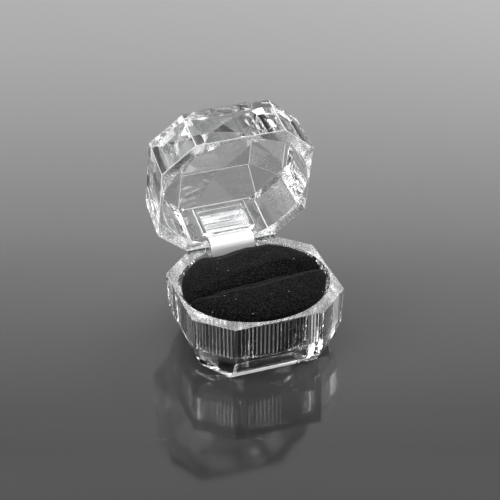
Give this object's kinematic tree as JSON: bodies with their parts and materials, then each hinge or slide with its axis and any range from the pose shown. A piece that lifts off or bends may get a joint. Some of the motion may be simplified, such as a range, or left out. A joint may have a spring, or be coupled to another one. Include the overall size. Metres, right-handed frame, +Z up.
{
  "type": "ring display box",
  "caption": "Small clear cut-corner box with a hinged, sprung lid and a slotted black velvet pad, made to hold and show a ring.",
  "frame": {"origin": "middle of the flat underside of the base", "axes": "+Z up, -Y towards the front edge that opens, +X along the hinge; the lid stands open on its stop"},
  "size_m": [0.04, 0.0527, 0.0559],
  "materials": {
    "clear_plastic": "polished clear polystyrene",
    "polished_steel": "bright polished spring steel",
    "pin_steel": "drawn steel wire",
    "velvet": "flocked black velvet",
    "foam": "soft dark foam",
    "card": "plain grey board"
  },
  "bodies": {
    "base": {"base_shell": "clear_plastic", "hinge_pin_left": "pin_steel", "hinge_pin_right": "pin_steel", "snap_spring": "polished_steel", "pad_foam": "foam", "pad_cover": "velvet", "pad_card": "card"},
    "lid": {"lid_shell": "clear_plastic"}
  },
  "joints": [
    {"name": "lid_hinge", "type": "hinge", "parent": "base", "child": "lid", "pos_m": [0, 0.0183, 0.0175], "axis": [-1, 0, 0], "range_deg": [-76.5, 0], "deforming": ["snap_spring"]}
  ]
}
